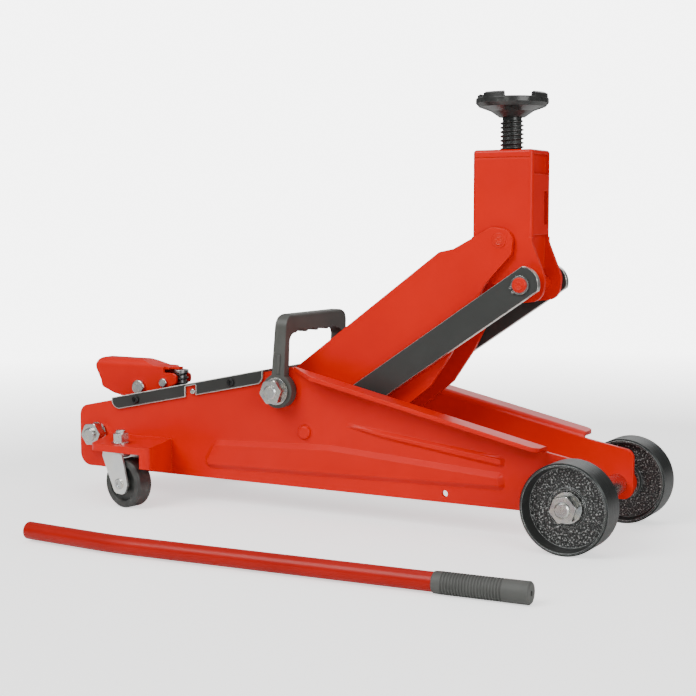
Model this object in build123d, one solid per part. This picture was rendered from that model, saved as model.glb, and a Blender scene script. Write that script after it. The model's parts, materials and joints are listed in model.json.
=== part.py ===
from build123d import *
import math
import os

os.makedirs("parts", exist_ok=True)

# Hydraulic trolley jack. Millimetres. +X points to the front wheels, +Z is up, +Y is the left side.
# Origin: on the floor, straight below the middle of the front axle, on the plane of symmetry.
# The lift arm is drawn raised; every joint value is zero in this pose.

# ---- driving dimensions -------------------------------------------------------------------
plate_inner = 47.0            # half the clear width between the two side plates
sheet = 4.0                   # thickness of the side plates
plate_outer = plate_inner + sheet
plate_bottom = 27.0
plate_front = 15.5
plate_rear = -572.5
rear_top = 91.0
peak = (-298.0, 147.5)        # highest point of the side plate
flange_end = (-33.0, 88.4)    # front end of the stiffening flange
flange_reach = 73.0

wheel_radius = 41.0
wheel_inner = 64.0
wheel_outer = 96.0
wheel_web_outer = 83.0         # outer face of the recessed web
axle_washer_outer = wheel_web_outer + 2.8
axle_radius = 10.0
stud_radius = 7.0
running_gap = 0.05            # radial clearance of every turning fit

arm_pivot = (-314.0, 123.0)
tower_pivot = (-91.5, 273.0)
link_offset = (26.0, -40.5)   # from an arm pivot to the link pivot of the same end
link_rear = (arm_pivot[0] + link_offset[0], arm_pivot[1] + link_offset[1])
link_front = (tower_pivot[0] + link_offset[0], tower_pivot[1] + link_offset[1])
tower_pin_radius = 7.0
arm_inner = 24.0
arm_outer = 28.0
link_inner = 32.8
link_outer = 38.8
tower_half = 22.5
tower_front = tower_pivot[0] + 30.0
tower_rear = tower_pivot[0] - 30.0
tower_top = 356.5
crosshead_radius = 60.0       # from the arm pivot to the pin the ram pushes
crosshead_angle = -70.0       # degrees from +X, arm raised

kingpin = (-477.0, -102.0)
ledge_top = 64.0
ledge_thickness = 4.0
caster_radius = 25.0
caster_trail = 11.0
caster_turn = -9.0            # degrees the right caster is turned at rest

socket_pivot = (-520.0, 110.7)
socket_nose_bolt = (-487.5, 117.0)
socket_axis_z = 129.5
plunger_x = -474.5
ram_axis_z = 66.0
cross_pin_at = (-421.5, 115.5)
tie_rod_at = (-548.0, 63.0)
cover_screws_x = (-495.0, -374.0)

handle_tube_radius = 8.0
handle_start = (-448.0, -273.0)
handle_bend = (-345.0, -280.0)
handle_finish = (33.5, -256.6)


# ---- small helpers -------------------------------------------------------------------------
def side_face(points, radii, distance):
    """Closed outline drawn in X and Z, standing at the given distance on the right (-Y) side."""
    line = FilletPolyline(*points, radius=radii, close=True)
    return Plane.XZ.offset(distance) * make_face(line)


def side_slab(points, radii, inner, outer):
    return extrude(side_face(points, radii, inner), outer - inner)


def rod_y(x, z, radius, start, finish):
    """Round bar along Y between two distances measured to the right (-Y)."""
    return Plane.XZ.offset(start) * Pos(x, z) * extrude(Circle(radius), finish - start)


def rod_x(y, z, radius, start, finish):
    return Plane.YZ.offset(start) * Pos(y, z) * extrude(Circle(radius), finish - start)


def rod_z(x, y, radius, start, finish):
    return Pos(x, y, start) * extrude(Circle(radius), finish - start)


def ring_y(x, z, radius, hole, start, finish):
    return rod_y(x, z, radius, start, finish) - rod_y(x, z, hole, start - 1, finish + 1)


def hex_nut(across_flats, thickness, hole):
    """Hexagon nut standing on z = 0 with its corners chamfered like a real one."""
    corner = across_flats / math.sqrt(3)
    nut = extrude(RegularPolygon(corner, 6), thickness)
    crown = Solid.make_cone(corner + thickness * 1.6, corner * 0.93, thickness + 0.01)
    return nut & crown - rod_z(0, 0, hole, -1, thickness + 1)


def nut_y(x, z, across_flats, thickness, hole, start, turn=0):
    """Hexagon nut on a Y axis, its crowned face outwards on the right side."""
    place = Plane.XZ.offset(start) * Pos(x, z) * Rot(0, 0, turn)
    return place * hex_nut(across_flats, thickness, hole)


def end_section(half, top, radius):
    """Arch-shaped bar along X for rounding the shoulders of the socket."""
    line = FilletPolyline((-half, 80), (-half, top), (half, top), (half, 80),
                          radius=[0, radius, radius, 0], close=True)
    return Plane.YZ.offset(-610) * extrude(make_face(line), 210)


def left_of(shape):
    return mirror(shape, about=Plane.XZ)


def both_sides(shape):
    return Compound([*shape.solids(), *left_of(shape).solids()])


def point_at(centre, radius, degrees):
    angle = math.radians(degrees)
    return (centre[0] + radius * math.cos(angle), centre[1] + radius * math.sin(angle))


def write(name, shape):
    solids = shape.solids()
    export_step(solids[0] if len(solids) == 1 else Compound(solids), f"parts/{name}.step")


# ---- frame ---------------------------------------------------------------------------------
def ledge_parts():
    """Shelf pressed out of the side plate that carries the caster, with its lip and front wall."""
    x, y = kingpin
    lip = 3.5
    lip_bottom = 57.0
    outline = [(-531, -plate_outer + 1), (-503, -119), (-429, -119), (-451, -plate_outer + 1)]
    plan = make_face(FilletPolyline(*outline, radius=[0, 12, 8, 0], close=True))
    wide = make_face(Polyline((-600, -plate_outer), (-600, -200), (-380, -200),
                              (-380, -plate_outer), close=True))
    border = plan - offset(plan, -lip)
    shelf = Pos(0, 0, ledge_top - ledge_thickness) * extrude(plan, ledge_thickness)
    skirt = Pos(0, 0, lip_bottom) * extrude(border & wide, ledge_top - lip_bottom)
    strip = make_face(Polyline((-463, -50), (-440.5, -120), (-400, -120), (-400, -50), close=True))
    wall = Pos(0, 0, plate_bottom) * extrude(border & strip, ledge_top - plate_bottom)
    wedge = Polyline((-plate_outer + 2, 0), (-plate_outer + 2, plate_bottom), (-120, 43),
                     (-130, 43), (-130, 0), close=True)
    wall -= Plane.YZ.offset(-480) * extrude(make_face(wedge), 120)
    shelf = shelf + skirt + wall
    return shelf - rod_z(x, y, 6.0, 40, 80)


def pressed_panel(points, radii, height, slope):
    """Raised pressing on the outer face of the plate, its edges sloping."""
    face = side_face(points, radii, plate_outer - 0.01)
    return extrude(face, height, taper=slope)


def side_plate():
    """Right side plate: web, outward top flange with a rolled bend, pressings and caster ledge."""
    slope = (flange_end[1] - peak[1]) / (flange_end[0] - peak[0])
    tilt = math.degrees(math.atan(slope))
    drop = 7.0
    outline = [
        (plate_rear, plate_bottom), (plate_rear, rear_top), (peak[0] - 4, peak[1] - 1),
        (peak[0] + 6, peak[1] - drop), (flange_end[0] + 2, flange_end[1] - drop + 1),
        (plate_front, 74.0), (plate_front, plate_bottom),
    ]
    web = side_slab(outline, [14, 12, 4, 2, 3, 9, 10], plate_inner, plate_outer)

    run = math.hypot(flange_end[0] - peak[0], flange_end[1] - peak[1])
    bend = 6.5
    centre = (-(plate_inner + bend), -bend)
    profile = (
        Polyline((-plate_inner, -drop - 4), (-plate_inner, -bend))
        + CenterArc(centre, bend, 0, 90)
        + Polyline((centre[0], 0), (-flange_reach, 0), (-flange_reach, -sheet),
                   (centre[0], -sheet))
        + CenterArc(centre, bend - sheet, 0, 90)
        + Polyline((-plate_outer, -bend), (-plate_outer, -drop - 4), (-plate_inner, -drop - 4))
    )
    along = Plane(origin=(peak[0], 0, peak[1]), x_dir=(0, 1, 0),
                  z_dir=(math.cos(math.radians(tilt)), 0, math.sin(math.radians(tilt))))
    flange = along * extrude(make_face(profile), run)
    front_corner = Pos(flange_end[0] - 9, -flange_reach + 9, 60) * extrude(
        Rectangle(20, 20, align=(Align.MIN, Align.MAX)) - Circle(9), 60)
    rear_corner = Pos(0, 0, 120) * extrude(make_face(Polyline(
        (peak[0] - 2, -plate_outer - 2), (peak[0] + 30, -flange_reach - 1),
        (peak[0] - 2, -flange_reach - 1), close=True)), 40)
    plate = web + (flange - front_corner - rear_corner) + ledge_parts()

    plate += pressed_panel([(-276, 99.5), (-74, 75.5), (-74, 64.5), (-205, 83)],
                           [2, 2, 2, 8], 3.0, 45)
    plate += pressed_panel([(-414, 37), (-396, 67), (-260, 72), (-76, 60), (-72, 44)],
                           [8, 14, 30, 5, 5], 4.0, 50)
    plate += pressed_panel([(-539.9, 73.6), (-536.6, 74.4), (-527.2, 59.6), (-529.9, 57.4)],
                           [1.5, 1.5, 1.5, 1.5], 2.0, 30)

    for x, z, radius in [
        (0, wheel_radius, axle_radius), (arm_pivot[0], arm_pivot[1], axle_radius),
        (link_rear[0], link_rear[1], 7.0), (tie_rod_at[0], tie_rod_at[1], 7.0), (-134.6, 35.5, 3.2),
        (cross_pin_at[0], cross_pin_at[1], 3.0), (-467, 33, 2.5),
    ]:
        plate -= rod_y(x, z, radius, plate_inner - 3, plate_outer + 10)
    return plate


def front_axle():
    shaft = rod_y(0, wheel_radius, axle_radius, -plate_outer, plate_outer)
    journal = rod_y(0, wheel_radius, 8.0, plate_outer - 1, wheel_web_outer + 0.3)
    stud = rod_y(0, wheel_radius, stud_radius, wheel_web_outer - 1, 99.5)
    end = journal + chamfer(stud.edges().sort_by(Axis.Y)[0], 1.2)
    return shaft + end + left_of(end)


def axle_spacers():
    return both_sides(ring_y(0, wheel_radius, 14.0, 8.0, plate_outer, wheel_inner - 0.3))


def axle_washers():
    return both_sides(ring_y(0, wheel_radius, 14.0, stud_radius, wheel_web_outer + 0.3,
                             axle_washer_outer))


def front_wheel():
    """Cast roller, drawn for the right side: rim, recessed web both sides and a hub ring."""
    half = (wheel_outer - wheel_inner) / 2
    recess = 8.0
    floor = wheel_web_outer - (wheel_inner + wheel_outer) / 2
    bore = 8.0 + running_gap
    outline = Polyline(
        (bore, -half), (16.5, -half), (16.5, -half + recess), (35.5, -half + recess),
        (37.8, -half), (wheel_radius - 1.6, -half), (wheel_radius, -half + 1.6),
        (wheel_radius, half - 1.6), (wheel_radius - 1.6, half), (38.2, half),
        (35.8, floor), (18.2, floor), (17.6, floor + 1.6), (16.0, floor + 1.6), (15.4, floor),
        (bore, floor), close=True)
    turned = revolve(Plane.XZ * make_face(outline), Axis.Z)
    centre = (wheel_inner + wheel_outer) / 2
    return Plane.XZ.offset(centre) * Pos(0, wheel_radius) * turned


def arm_shaft():
    x, z = arm_pivot
    shaft = rod_y(x, z, axle_radius, -plate_outer, plate_outer)
    end = rod_y(x, z, 7.0, plate_outer - 1, 75.5)
    end = chamfer(end.edges().sort_by(Axis.Y)[0], 1.2)
    return shaft + end + left_of(end)


def edge_z(x):
    """Height of the side plates' sloping rear edge."""
    rise = (peak[1] - rear_top) / (peak[0] - plate_rear)
    return rear_top + rise * (x - plate_rear)


def top_cover():
    """Folded black cover following the sloping top edges, open at the back for the socket."""
    start, finish = -527.0, -336.0
    clearance = 0.6
    metal = 2.0
    low = edge_z(start) + clearance
    high = edge_z(finish) + clearance
    side = 53.5
    roof = side_slab([(start, low), (start, low + metal), (finish, high + metal), (finish, high)],
                     [0, 0, 0, 0], -side, side)
    skirt = side_slab([(start, low - 11.5), (start, low + metal), (finish, high + metal),
                       (finish, high - 11.5)], [9, 0, 0, 9], side - metal, side)
    slot = side_slab([(-431, 90), (-431, edge_z(-431)), (-417.5, edge_z(-417.5)),
                      (-417.5, 90)], [0, 0, 0, 0], side - metal - 1, side + 1)
    skirt -= slot
    cover = roof + skirt + left_of(skirt)
    mouth = Pos(start - 1, 0, 80) * extrude(
        Rectangle(68, 62, align=(Align.MIN, Align.CENTER)), 80)
    mouth = fillet(mouth.edges().filter_by(Axis.Z).sort_by(Axis.X)[-2:], 8)
    cover -= mouth
    for x in cover_screws_x:
        cover -= rod_y(x, edge_z(x) - 4.5, 2.6, -60, 60)
    return cover


def cover_screws():
    """Pan-head screws through the cover's side flanges into the side plates."""
    screws = []
    for x in cover_screws_x:
        z = edge_z(x) - 4.5
        head = rod_y(x, z, 4.3, 53.5, 55.9)
        head = fillet(head.edges().sort_by(Axis.Y)[0], 1.4)
        cross = Plane.XZ.offset(54.8) * Pos(x, z) * extrude(
            Rectangle(4.4, 1.0) + Rectangle(1.0, 4.4), 3)
        screws += (head + rod_y(x, z, 2.6, plate_outer, 53.6) - cross).solids()
    return both_sides(Compound(screws))


# ---- rear axle hardware ----------------------------------------------------------------------
def rear_tie_rod():
    rod = rod_y(*tie_rod_at, 7.0, -68, 68)
    return chamfer(rod.edges().filter_by(GeomType.CIRCLE), 1.2)


def caster_kingpins():
    x, y = kingpin
    pin = rod_z(x, y, 6.0, 53.2, ledge_top) + rod_z(x, y, 5.0, ledge_top - 1, 78.0)
    pin = chamfer(pin.edges().sort_by(Axis.Z)[-1], 1.0)
    head = rod_z(x, y, 9.5, 50.9, 53.2)
    return both_sides(fillet(head.edges().sort_by(Axis.Z)[0], 1.0) + pin)


def caster_races():
    """Bearing race between the ledge and each caster crown."""
    x, y = kingpin
    race = rod_z(x, y, 12.5, 56.6, ledge_top - ledge_thickness) - rod_z(x, y, 6.0, 50, 70)
    return both_sides(chamfer(race.edges().filter_by(GeomType.CIRCLE).sort_by(Axis.Z)[0:1], 0.8))


def caster_nuts():
    x, y = kingpin
    washer = rod_z(x, y, 9.5, ledge_top, ledge_top + 1.6) - rod_z(x, y, 5.0, 60, 70)
    nut = Pos(x, y, ledge_top + 1.6) * Rot(0, 0, 12) * hex_nut(15, 9.0, 5.0)
    return both_sides(Compound([*washer.solids(), *nut.solids()]))


def caster_place():
    """Frame of the right caster at its kingpin: local X runs from the kingpin to the wheel."""
    return Pos(kingpin[0], kingpin[1], 0) * Rot(0, 0, caster_turn)


def caster_fork():
    """Pressed zinc-plated fork: crown plate and two cheeks that taper down to the wheel axle."""
    inner, outer = 10.6, 13.0
    crown_bottom, crown_top = 53.6, 56.2
    corner = crown_top - 0.8
    cheek_points = [
        (-15.5, corner), (14.5, corner), (caster_trail + 11.5, caster_radius),
        (caster_trail + 7.5, caster_radius - 10.5), (caster_trail - 7.0, caster_radius - 10.0),
    ]
    cheek = side_slab(cheek_points, [3, 3, 4, 7, 7], inner, outer)
    crown = Pos(-0.5, 0, crown_bottom) * extrude(
        RectangleRounded(30, 2 * outer, 4), crown_top - crown_bottom)
    fork = crown + cheek + left_of(cheek)
    fork -= rod_z(0, 0, 6.0 + running_gap, 40, 70)
    fork -= rod_y(caster_trail, caster_radius, 4.0, -20, 20)
    return caster_place() * fork


def caster_wheel():
    half = 9.6
    bore = 4.0 + running_gap
    outline = Polyline(
        (bore, -half), (7.5, -half), (8.2, -half + 3.5), (16.5, -half + 4.0), (18.0, -half + 1.0),
        (23.6, -half + 0.6), (caster_radius, -half + 2.4), (caster_radius, half - 2.4),
        (23.6, half - 0.6), (18.0, half - 1.0), (16.5, half - 4.0), (8.2, half - 3.5),
        (7.5, half), (bore, half), close=True)
    wheel = revolve(Plane.XZ * make_face(outline), Axis.Z)
    return caster_place() * (Plane.XZ * Pos(caster_trail, caster_radius) * wheel)


def caster_axle():
    """Riveted wheel axle with a rolled head each side."""
    rivet = rod_y(caster_trail, caster_radius, 4.0, -13.0, 13.0)
    head = rod_y(caster_trail, caster_radius, 5.6, 13.0, 14.8)
    head = fillet(head.edges().sort_by(Axis.Y)[0], 1.0)
    head -= rod_y(caster_trail, caster_radius, 2.4, 14.0, 16)
    return caster_place() * (rivet + head + left_of(head))


# ---- hydraulic unit ----------------------------------------------------------------------------
def hydraulic_block():
    """Cast base block: feet clamped between the plates, pump column and pivot ear on top."""
    foot = Pos(-500, 0, 38) * extrude(RectangleRounded(124, 2 * plate_inner, 3), 12)
    body = Pos(-484, 0, 38) * extrude(RectangleRounded(92, 64, 6), 53)
    body = chamfer(body.faces().sort_by(Axis.Z)[-1].edges(), 3)
    rear = Pos(-548, 0, 38) * extrude(RectangleRounded(28, 50, 3), 38)
    ear = side_slab([(-530, 88), (-529, 118.5), (-511, 118.5), (-502, 88)], [1, 8, 8, 1], -9.5, 9.5)
    block = foot + body + rear + ear
    block -= rod_y(*tie_rod_at, 7.0, -60, 60)
    block -= rod_y(socket_pivot[0], socket_pivot[1], 5.0, -20, 20)
    block -= rod_z(plunger_x, 0, 12.0, 72, 110)
    block -= rod_x(0, ram_axis_z, 22.0, -462, -430)
    block -= rod_z(-452, 22, 4.0, 84, 100)
    return block - rod_x(-17, 84, 5.0, -535, -500)


def cylinder():
    tube = rod_x(0, ram_axis_z, 22.0, -462, -361)
    return tube - rod_x(0, ram_axis_z, 14.4, -456, -350)


def reservoir():
    shell = rod_x(0, ram_axis_z, 34.0, -438, -364)
    return shell - rod_x(0, ram_axis_z, 31.5, -440, -350)


def gland_nut():
    cap = rod_x(0, ram_axis_z, 34.0, -364, -356)
    cap = chamfer(cap.edges().filter_by(GeomType.CIRCLE).sort_by(Axis.X)[-1], 2.0)
    cap += rod_x(0, ram_axis_z, 31.5, -370, -363)
    cap -= rod_x(0, ram_axis_z, 22.0, -380, -361)
    return cap - rod_x(0, ram_axis_z, 13.0 + 0.25, -380, -340)


def ram():
    """Polished piston rod with its piston inside the cylinder."""
    rod = rod_x(0, ram_axis_z, 13.0, -400, -312)
    piston = rod_x(0, ram_axis_z, 14.1, -414, -400)
    return rod + piston


def ram_head():
    """Crosshead block on the rod's nose, slotted for the pin of the lift arm."""
    x, z = point_at(arm_pivot, crosshead_radius, crosshead_angle)
    head = side_slab([(-316, 48), (-316, 84), (x + 18, 90), (x + 18, 48)], [4, 4, 5, 5], -12, 12)
    slot = side_slab([(x - 9.5, 54), (x - 9.5, 84), (x + 9.5, 84), (x + 9.5, 54)],
                     [6, 6, 6, 6], -13, 13)
    return head - slot - rod_x(0, ram_axis_z, 13.0, -330, -312)


def pump_barrel():
    barrel = rod_z(plunger_x, 0, 12.0, 72, 86)
    barrel = chamfer(barrel.edges().sort_by(Axis.Z)[-1], 1.0)
    return barrel - rod_z(plunger_x, 0, 5.6 + 0.25, 71, 110)


def pump_plunger():
    stem = rod_z(plunger_x, 0, 5.6, 98, 128)
    head = rod_z(plunger_x, 0, 8.0, 127.6, 131.0)
    return stem + fillet(head.edges().sort_by(Axis.Z)[-1], 1.0)


def pump_spring():
    """Return spring of the plunger between the barrel and the plunger's head."""
    coil_radius, wire = 6.9, 0.9
    bottom, top, turns = 86.0, 127.6, 8
    pitch = (top - bottom - 2 * wire) / turns
    path = Helix(pitch=pitch, height=pitch * turns, radius=coil_radius)
    section = Plane(origin=path @ 0, z_dir=path % 0) * Circle(wire)
    return Pos(plunger_x, 0, bottom + wire) * sweep(section, path=path, is_frenet=True)


def filler_plug():
    plug = rod_z(-452, 22, 4.0, 86, 91) + rod_z(-452, 22, 6.5, 91, 93.5)
    return fillet(plug.edges().sort_by(Axis.Z)[-1], 1.0)


def release_valve():
    """Turning spindle of the release valve with its slotted rear end."""
    spindle = rod_x(-17, 84, 5.0 - running_gap, -530, -502)
    head = rod_x(-17, 84, 7.0, -545, -535.3)
    head = chamfer(head.edges().filter_by(GeomType.CIRCLE), 0.8)
    slot = Pos(-545, -17, 84) * Box(6, 2.4, 20)
    return spindle + rod_x(-17, 84, 4.0, -536, -529) + (head - slot)


# ---- lift arm, links and tower -------------------------------------------------------------------
def lift_arm():
    """Deep channel: two cheeks and the web along their top edge."""
    ax, az = arm_pivot
    tx, tz = tower_pivot
    cx, cz = point_at(arm_pivot, crosshead_radius, crosshead_angle)
    nose = 11.5
    steepness = 0.739
    web_end = (-153.0, 261.5)

    def top_z(x):
        return web_end[1] + steepness * (x - web_end[0])

    outline = [
        (ax - 20, az - 14), (ax - 20, top_z(ax - 20)), web_end,
        (-138, 264.6), (tx - 8, tz + 12.2), (tx + 14, tz + 9.0), (tx + 12, tz - 13),
        (-105.6, 232), (-140, 165), (-162, 133), (-250, 63), (cx - 6, cz - 18),
        (cx - 17, cz - 8),
    ]
    corners = [12, 10, 5, 5, nose, nose, 6, 20, 30, 12, 22, 12, 10]
    cheek = side_slab(outline, corners, arm_inner, arm_outer)
    web_line = [
        (ax + 2, top_z(ax + 2) - 0.4), (web_end[0], web_end[1] - 0.4), (-140, 263.8),
        (-138.4, 260.0), (web_end[0] + 1.5, web_end[1] - 4.6), (ax + 5, top_z(ax + 5) - 5.4),
    ]
    web = side_slab(web_line, [1, 3, 0.5, 0.5, 3, 1], -arm_inner - 0.5, arm_inner + 0.5)
    arm = cheek + left_of(cheek) + web
    arm -= rod_y(ax, az, axle_radius + running_gap, -40, 40)
    arm -= rod_y(tx, tz, tower_pin_radius, -40, 40)
    return arm - rod_y(cx, cz, 7.0, -40, 40)


def arm_sleeves():
    """Spacer tubes that centre the lift arm between the side plates."""
    x, z = arm_pivot
    return both_sides(ring_y(x, z, 14.5, axle_radius, arm_outer + 0.3, plate_inner))


def crosshead_pin():
    x, z = point_at(arm_pivot, crosshead_radius, crosshead_angle)
    pin = rod_y(x, z, 7.0, -30.5, 30.5)
    return chamfer(pin.edges().filter_by(GeomType.CIRCLE), 1.0)


def tower_pin():
    x, z = tower_pivot
    pin = rod_y(x, z, tower_pin_radius, -28.8, 28.8)
    return fillet(pin.edges().filter_by(GeomType.CIRCLE), 0.6)


def tower():
    """Folded post: cheeks drawn down to the link pin, cap plate, front and rear webs with windows."""
    tx, tz = tower_pivot
    lx, lz = link_front
    lobe = 16.0
    outline = [
        (tower_rear, tower_top), (tower_front, tower_top), (tower_front, tz - 2),
        (lx + lobe + 1.5, lz + 6), (lx + lobe - 1, lz - lobe + 1), (lx - 10, lz - lobe - 2),
        (tower_rear, tz - 24),
    ]
    wall = 4.0
    inside = tower_half - wall
    cheek = side_slab(outline, [5, 5, 12, 14, 13, 14, 6], inside, tower_half)
    cheek -= side_slab([(tower_rear - 1, 348.2), (tower_rear - 1, 349.6), (tower_front - 3, 349.6),
                        (tower_front - 3, 348.2)], [0, 0, 0, 0], tower_half - 0.6, tower_half + 1)
    width = tower_front - tower_rear
    cap = Pos((tower_front + tower_rear) / 2, 0, tower_top - wall) * extrude(
        Rectangle(width - 1, 2 * tower_half - 1), wall)
    front = Pos(tower_front - 5.5, 0, 246) * extrude(
        Rectangle(3.0, 2 * inside + 2), tower_top - 246 - 2)
    front += Pos(tower_front - 2.5, 0, 278) * extrude(Rectangle(5.0, 2 * inside + 2), 56)
    front -= Pos(tower_front, 12, 303) * Box(20, 9, 31)
    rear = Pos(tower_rear + wall / 2, 0, 262) * extrude(
        Rectangle(wall, 2 * inside + 2), tower_top - 262 - 2)
    post = cheek + left_of(cheek) + cap + front + rear
    upper = Pos(tx, 0, 276) * extrude(RectangleRounded(width, 2 * tower_half, 3.5), tower_top - 276)
    upper = fillet(upper.faces().sort_by(Axis.Z)[-1].edges(), 3.0)
    post &= upper + Pos(tx, 0, 176) * Box(200, 100, 200)
    post -= rod_z(tx, 0, 11.4, 340, 360)
    post -= rod_y(tx, tz, tower_pin_radius + running_gap, -30, 30)
    return post - rod_y(lx, lz, 7.0, -30, 30)


def screw_nut():
    """Threaded block welded under the tower's cap; its thread is drawn as a clear bore."""
    block = Pos(tower_pivot[0], 0, 334) * extrude(Rectangle(34, 30), tower_top - 4 - 334)
    return block - rod_z(tower_pivot[0], 0, 11.3, 330, 360)


def link_pin():
    x, z = link_front
    pin = rod_y(x, z, 7.0, -43.0, 43.0)
    grooves = ring_y(x, z, 8.0, 6.4, 39.4, 40.8)
    pin = chamfer(pin.edges().filter_by(GeomType.CIRCLE), 1.0)
    return pin - grooves - left_of(grooves)


def link_pin_sleeves():
    x, z = link_front
    return both_sides(ring_y(x, z, 10.5, 7.0, tower_half, link_inner - 0.3))


def link_pin_clips():
    """Circlips in the link pin's grooves, each with two eyelets."""
    x, z = link_front
    clip = ring_y(x, z, 8.7, 6.4, 39.45, 40.75)
    gap_at = point_at((x, z), 9.0, -150)
    clip -= rod_y(gap_at[0], gap_at[1], 1.6, 39, 41)
    for angle in (-135, -165):
        spot = point_at((x, z), 9.2, angle)
        clip += ring_y(spot[0], spot[1], 1.5, 0.6, 39.45, 40.75)
    return both_sides(clip)


def link():
    """Flat bar of the right side that keeps the tower upright."""
    half = 13.5
    reach = 17.3
    dx, dz = link_front[0] - link_rear[0], link_front[1] - link_rear[1]
    length = math.hypot(dx, dz)
    place = Plane.XZ.offset(link_inner) * Pos(*link_rear) * Rot(0, 0, math.degrees(math.atan2(dz, dx)))
    bar = Pos(length / 2, 0) * Rectangle(length + 2 * reach, 2 * half)
    ends = Pos(length / 2, 0) * Rectangle(length, 2 * half) + Circle(reach)
    outline = bar & (ends + Pos(length, 0) * Circle(reach))
    outline -= Circle(7.0 + running_gap)
    outline -= Pos(length, 0) * Circle(7.3)
    return place * extrude(outline, link_outer - link_inner)


def link_rivets():
    """Dome-headed pins that carry the rear end of each link from the side plates."""
    x, z = link_rear
    shank = rod_y(x, z, 7.0, link_inner - 1.0, plate_outer)
    collar = ring_y(x, z, 10.0, 7.0, link_outer + 0.3, plate_inner)
    dome = rod_y(x, z, 7.0, plate_outer, plate_outer + 3.2)
    dome = fillet(dome.edges().sort_by(Axis.Y)[0], 2.6)
    return both_sides(shank + collar + dome)


# ---- saddle --------------------------------------------------------------------------------------
def saddle_screw():
    """Extension screw; its thread is drawn as a stack of grooves of the same pitch."""
    x = tower_pivot[0]
    pitch, crest, root = 4.0, 11.0, 8.9
    bottom, thread_top, top = 313.0, 385.0, 390.0
    points = [(0, bottom), (root, bottom)]
    turns = int((thread_top - bottom) / pitch)
    for turn in range(turns):
        z = bottom + turn * pitch
        points += [(root, z + 0.5), (crest, z + 1.7), (crest, z + 2.5), (root, z + 3.7)]
    points += [(root, top), (0, top)]
    return Pos(x, 0, 0) * revolve(Plane.XZ * make_face(Polyline(*points, close=True)), Axis.Z)


def saddle():
    """Dished cup with four raised lugs and a conical underside."""
    x = tower_pivot[0]
    neck, rim = 387.0, 405.0
    outline = Polyline(
        (0, neck + 3), (8.9, neck + 3), (8.9, neck), (12.0, neck), (20.0, neck + 5.5), (31.0, neck + 9.5),
        (34.0, neck + 13.0), (34.0, rim - 1.0), (33.0, rim), (28.0, rim), (25.0, rim - 5.0),
        (0, rim - 5.0), close=True)
    cup = revolve(Plane.XZ * make_face(outline), Axis.Z)
    lug_face = Polyline((27.0, rim - 2), (28.2, rim + 3.6), (31.0, rim + 4.5), (33.6, rim + 3.0),
                        (33.9, rim - 2), close=True)
    lug_arc = 38.0
    for quarter in range(4):
        turned = Rot(0, 0, -100 + 90 * quarter - lug_arc / 2)
        cup += turned * revolve(Plane.XZ * make_face(lug_face), Axis.Z, lug_arc)
    return Pos(x, 0, 0) * cup


# ---- handles -------------------------------------------------------------------------------------
def handle_socket():
    """Pressed yoke over the pump: round-backed roof, cheeks down to the pivot, nose over the plunger."""
    half, metal = 14.0, 2.8
    roof_z, roof_radius = 140.8, 9.0
    tongue_bottom = 131.2
    mouth, depth_end = -600.0, -528.0
    outline = [
        (-581, 131), (-577, roof_z), (-520, roof_z - 0.3), (-499.5, 134.2), (-484, 134.0),
        (-483.5, 127.8), (-476, 127.6), (-471.2, 125), (-471.2, 117), (-504, 104), (-530, 97),
        (-556, 102.5), (-571.8, 108.8), (-573, 115.5),
    ]
    radii = [8, 7, 12, 12, 1.5, 2, 3, 3, 4, 12, 12, 8, 4, 5]
    body = side_slab(outline, radii, -half, half) & end_section(half, roof_z, roof_radius)
    tube = rod_x(0, socket_axis_z, half - metal, mouth, depth_end - 2) & body
    hollow = side_slab(
        [(mouth, 90), (mouth, roof_z - metal), (-520, roof_z - 0.3 - metal), (-500, 131.4),
         (-486.3, tongue_bottom), (-460, tongue_bottom), (-460, 90)],
        [0, 0, 9, 9, 0, 0, 0], metal - half, half - metal)
    hollow &= end_section(half - metal, roof_z - metal, roof_radius - metal)
    body = body - hollow + tube - rod_x(0, socket_axis_z, 8.25, mouth, depth_end)
    shoulder = Pos(-488, 9.5, 127.8) * Box(10, 10, 10, align=(Align.MIN, Align.MIN, Align.MIN))
    body -= shoulder + left_of(shoulder)
    body += Pos(-480.3, 0, tongue_bottom + 1.2) * Box(11.4, 8, 2.4)
    for x, z, radius in ((*socket_pivot, 5.0 + running_gap), (*socket_nose_bolt, 3.0)):
        body -= rod_y(x, z, radius, -20, 20)
    return body


def socket_bolts():
    """Pivot bolt of the socket, with a head each side, fixed in the block's ear."""
    x, z = socket_pivot
    shank = rod_y(x, z, 5.0, -14.3, 14.3)
    head = rod_y(x, z, 8.0, 14.3, 18.3)
    head = fillet(head.edges().sort_by(Axis.Y)[0], 1.5)
    return shank + head + left_of(head)


def nose_bolt():
    """Cross bolt that stiffens the front of the socket yoke."""
    shank = rod_y(*socket_nose_bolt, 3.0, -14.0, 14.0)
    head = rod_y(*socket_nose_bolt, 5.0, 14.0, 17.0)
    head = fillet(head.edges().sort_by(Axis.Y)[0], 1.2)
    return shank + head + left_of(head)


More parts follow.
